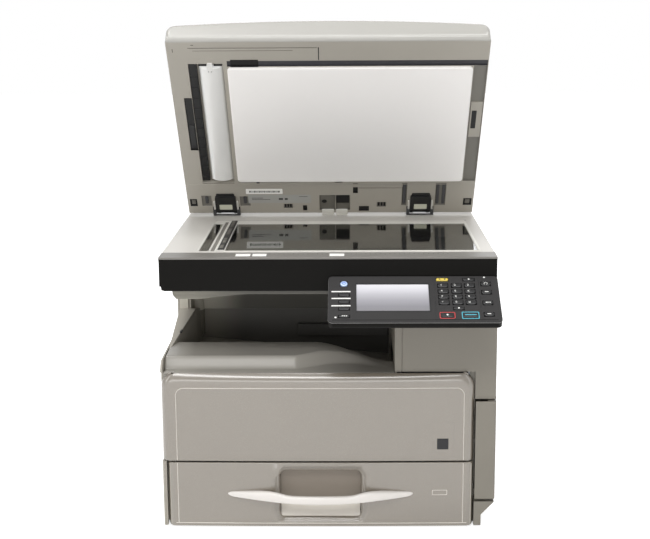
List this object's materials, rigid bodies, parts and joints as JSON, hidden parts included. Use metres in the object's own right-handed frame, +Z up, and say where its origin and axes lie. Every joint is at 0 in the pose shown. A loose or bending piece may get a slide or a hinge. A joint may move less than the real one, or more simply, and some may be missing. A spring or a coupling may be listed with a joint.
{
  "type": "multifunction printer",
  "caption": "Desktop multifunction printer with an open scanner lid, a tilting control panel, a front door and a paper cassette.",
  "frame": {"origin": "on the floor, under the centre of the machine's outline with its lid open as at rest", "axes": "+X to the machine's right as seen from the front, +Y to its back, +Z up"},
  "size_m": [0.486, 0.5326, 0.732],
  "materials": {
    "body_plastic": "warm light grey moulded plastic, fine texture",
    "door_plastic": "warm light grey moulded plastic, satin",
    "tray_plastic": "warm light grey moulded plastic, fine texture",
    "cavity_plastic": "warm grey moulded plastic",
    "scanner_plastic": "pale grey moulded plastic",
    "lid_plastic": "warm grey moulded plastic",
    "bezel_plastic": "near-black satin plastic",
    "handle_plastic": "off-white satin plastic",
    "cassette_plastic": "grey moulded plastic",
    "frame_steel": "zinc plated sheet steel",
    "lift_steel": "zinc plated sheet steel",
    "foot_rubber": "black rubber",
    "platen_glass": "clear flat glass",
    "hinge_metal": "black painted steel",
    "toner_plastic": "dark grey plastic",
    "drum_plastic": "dark plastic with a coated drum",
    "fuser_metal": "grey painted steel",
    "unit_plastic": "black moulded plastic",
    "inlet_plastic": "black moulded plastic",
    "carriage_metal": "dark painted steel",
    "pad_white": "white sheet over foam",
    "guide_plastic": "glossy white plastic",
    "panel_case_plastic": "dark grey moulded plastic",
    "panel_plastic": "dark grey satin plastic",
    "screen_glass": "pale lavender grey display",
    "key_black": "black plastic, white marks",
    "key_yellow": "yellow plastic",
    "key_blue": "pale blue plastic",
    "key_red": "dark plastic with a red rim",
    "key_teal": "dark plastic with a teal rim"
  },
  "bodies": {
    "chassis": {"main_frame": "frame_steel", "rubber_feet": "foot_rubber", "left_cover": "body_plastic", "rear_cover": "body_plastic", "tower_cover": "body_plastic", "output_tray": "tray_plastic", "scanner_support": "cavity_plastic", "scanner_case": "body_plastic", "scanner_top": "scanner_plastic", "front_bezel": "bezel_plastic", "scanner_glasses": "platen_glass", "hinge_brackets": "hinge_metal", "toner_bottle": "toner_plastic", "drum_unit": "drum_plastic", "fuser_unit": "fuser_metal", "laser_unit": "unit_plastic", "power_inlet": "inlet_plastic"},
    "lid": {"lid_base": "lid_plastic", "platen_pad": "pad_white", "reading_guide": "guide_plastic", "hinge_arms": "hinge_metal"},
    "feeder_hood": {"feed_cover": "body_plastic"},
    "originals_tray": {"document_tray": "body_plastic"},
    "door": {"front_door": "door_plastic"},
    "drawer": {"cassette": "cassette_plastic", "cassette_front": "door_plastic", "cassette_handle": "handle_plastic"},
    "lift": {"lift_plate": "lift_steel"},
    "side_door": {"right_door": "body_plastic"},
    "bypass_flap": {"bypass_tray": "body_plastic"},
    "carriage": {"scan_carriage": "carriage_metal"},
    "panel": {"panel_case": "panel_case_plastic", "panel_top": "panel_plastic", "touch_screen": "screen_glass"},
    "power_key": {"power_key": "key_blue"},
    "function_key_1": {"function_key_1": "key_black"},
    "function_key_2": {"function_key_2": "key_black"},
    "function_key_3": {"function_key_3": "key_black"},
    "program_key": {"program_key": "key_black"},
    "reset_key": {"reset_key": "key_yellow"},
    "interrupt_key": {"interrupt_key": "key_black"},
    "energy_key": {"energy_key": "key_black"},
    "login_key": {"login_key": "key_black"},
    "counter_key": {"counter_key": "key_black"},
    "preview_key": {"preview_key": "key_black"},
    "number_key_one": {"number_key_one": "key_black"},
    "number_key_two": {"number_key_two": "key_black"},
    "number_key_three": {"number_key_three": "key_black"},
    "number_key_four": {"number_key_four": "key_black"},
    "number_key_five": {"number_key_five": "key_black"},
    "number_key_six": {"number_key_six": "key_black"},
    "number_key_seven": {"number_key_seven": "key_black"},
    "number_key_eight": {"number_key_eight": "key_black"},
    "number_key_nine": {"number_key_nine": "key_black"},
    "number_key_star": {"number_key_star": "key_black"},
    "number_key_zero": {"number_key_zero": "key_black"},
    "number_key_hash": {"number_key_hash": "key_black"},
    "clear_key": {"clear_key": "key_black"},
    "stop_key": {"stop_key": "key_red"},
    "start_key": {"start_key": "key_teal"}
  },
  "joints": [
    {"name": "lid_hinge", "type": "hinge", "parent": "chassis", "child": "lid", "pos_m": [0, 0.19647, 0.416], "axis": [-1, 0, 0], "range_deg": [-49.84, 0]},
    {"name": "front_door_hinge", "type": "hinge", "parent": "chassis", "child": "door", "pos_m": [0, -0.17653, 0.1122], "axis": [1, 0, 0], "range_deg": [0, 85]},
    {"name": "cassette_slide", "type": "slide", "parent": "chassis", "child": "drawer", "axis": [0, -1, 0], "range_m": [0, 0.33]},
    {"name": "right_door_hinge", "type": "hinge", "parent": "chassis", "child": "side_door", "pos_m": [0.2355, -0.01673, 0.0499], "axis": [0, 1, 0], "range_deg": [0, 70]},
    {"name": "bypass_hinge", "type": "hinge", "parent": "side_door", "child": "bypass_flap", "pos_m": [0.2415, -0.00873, 0.0855], "axis": [0, 1, 0], "range_deg": [0, 85]},
    {"name": "panel_tilt", "type": "hinge", "parent": "chassis", "child": "panel", "pos_m": [0.1202, -0.18876, 0.36976], "axis": [1, 0, 0], "range_deg": [0, 30]},
    {"name": "feed_cover_hinge", "type": "hinge", "parent": "lid", "child": "feeder_hood", "pos_m": [-0.232, 0.10512, 0.56659], "axis": [0, -0.6449, 0.7642], "range_deg": [0, 75]},
    {"name": "document_tray_hinge", "type": "hinge", "parent": "lid", "child": "originals_tray", "pos_m": [-0.077, 0.12094, 0.57993], "axis": [0, -0.6449, 0.7642], "range_deg": [0, 60]},
    {"name": "lift_plate_hinge", "type": "hinge", "parent": "drawer", "child": "lift", "pos_m": [-0.1, 0.01927, 0.0133], "axis": [0, -1, 0], "range_deg": [0, 12]},
    {"name": "carriage_slide", "type": "slide", "parent": "chassis", "child": "carriage", "axis": [1, 0, 0], "range_m": [0, 0.37]},
    {"name": "power_key_press", "type": "slide", "parent": "panel", "child": "power_key", "axis": [0, 0.5, -0.866], "range_m": [0, 0.001], "stiffness_N_per_m": 400},
    {"name": "function_key_1_press", "type": "slide", "parent": "panel", "child": "function_key_1", "axis": [0, 0.5, -0.866], "range_m": [0, 0.001], "stiffness_N_per_m": 400},
    {"name": "function_key_2_press", "type": "slide", "parent": "panel", "child": "function_key_2", "axis": [0, 0.5, -0.866], "range_m": [0, 0.001], "stiffness_N_per_m": 400},
    {"name": "function_key_3_press", "type": "slide", "parent": "panel", "child": "function_key_3", "axis": [0, 0.5, -0.866], "range_m": [0, 0.001], "stiffness_N_per_m": 400},
    {"name": "program_key_press", "type": "slide", "parent": "panel", "child": "program_key", "axis": [0, 0.5, -0.866], "range_m": [0, 0.001], "stiffness_N_per_m": 400},
    {"name": "reset_key_press", "type": "slide", "parent": "panel", "child": "reset_key", "axis": [0, 0.5, -0.866], "range_m": [0, 0.001], "stiffness_N_per_m": 400},
    {"name": "interrupt_key_press", "type": "slide", "parent": "panel", "child": "interrupt_key", "axis": [0, 0.5, -0.866], "range_m": [0, 0.001], "stiffness_N_per_m": 400},
    {"name": "energy_key_press", "type": "slide", "parent": "panel", "child": "energy_key", "axis": [0, 0.5, -0.866], "range_m": [0, 0.001], "stiffness_N_per_m": 400},
    {"name": "login_key_press", "type": "slide", "parent": "panel", "child": "login_key", "axis": [0, 0.5, -0.866], "range_m": [0, 0.001], "stiffness_N_per_m": 400},
    {"name": "counter_key_press", "type": "slide", "parent": "panel", "child": "counter_key", "axis": [0, 0.5, -0.866], "range_m": [0, 0.001], "stiffness_N_per_m": 400},
    {"name": "preview_key_press", "type": "slide", "parent": "panel", "child": "preview_key", "axis": [0, 0.5, -0.866], "range_m": [0, 0.001], "stiffness_N_per_m": 400},
    {"name": "number_key_one_press", "type": "slide", "parent": "panel", "child": "number_key_one", "axis": [0, 0.5, -0.866], "range_m": [0, 0.001], "stiffness_N_per_m": 400},
    {"name": "number_key_two_press", "type": "slide", "parent": "panel", "child": "number_key_two", "axis": [0, 0.5, -0.866], "range_m": [0, 0.001], "stiffness_N_per_m": 400},
    {"name": "number_key_three_press", "type": "slide", "parent": "panel", "child": "number_key_three", "axis": [0, 0.5, -0.866], "range_m": [0, 0.001], "stiffness_N_per_m": 400},
    {"name": "number_key_four_press", "type": "slide", "parent": "panel", "child": "number_key_four", "axis": [0, 0.5, -0.866], "range_m": [0, 0.001], "stiffness_N_per_m": 400},
    {"name": "number_key_five_press", "type": "slide", "parent": "panel", "child": "number_key_five", "axis": [0, 0.5, -0.866], "range_m": [0, 0.001], "stiffness_N_per_m": 400},
    {"name": "number_key_six_press", "type": "slide", "parent": "panel", "child": "number_key_six", "axis": [0, 0.5, -0.866], "range_m": [0, 0.001], "stiffness_N_per_m": 400},
    {"name": "number_key_seven_press", "type": "slide", "parent": "panel", "child": "number_key_seven", "axis": [0, 0.5, -0.866], "range_m": [0, 0.001], "stiffness_N_per_m": 400},
    {"name": "number_key_eight_press", "type": "slide", "parent": "panel", "child": "number_key_eight", "axis": [0, 0.5, -0.866], "range_m": [0, 0.001], "stiffness_N_per_m": 400},
    {"name": "number_key_nine_press", "type": "slide", "parent": "panel", "child": "number_key_nine", "axis": [0, 0.5, -0.866], "range_m": [0, 0.001], "stiffness_N_per_m": 400},
    {"name": "number_key_star_press", "type": "slide", "parent": "panel", "child": "number_key_star", "axis": [0, 0.5, -0.866], "range_m": [0, 0.001], "stiffness_N_per_m": 400},
    {"name": "number_key_zero_press", "type": "slide", "parent": "panel", "child": "number_key_zero", "axis": [0, 0.5, -0.866], "range_m": [0, 0.001], "stiffness_N_per_m": 400},
    {"name": "number_key_hash_press", "type": "slide", "parent": "panel", "child": "number_key_hash", "axis": [0, 0.5, -0.866], "range_m": [0, 0.001], "stiffness_N_per_m": 400},
    {"name": "clear_key_press", "type": "slide", "parent": "panel", "child": "clear_key", "axis": [0, 0.5, -0.866], "range_m": [0, 0.001], "stiffness_N_per_m": 400},
    {"name": "stop_key_press", "type": "slide", "parent": "panel", "child": "stop_key", "axis": [0, 0.5, -0.866], "range_m": [0, 0.001], "stiffness_N_per_m": 400},
    {"name": "start_key_press", "type": "slide", "parent": "panel", "child": "start_key", "axis": [0, 0.5, -0.866], "range_m": [0, 0.001], "stiffness_N_per_m": 400}
  ]
}
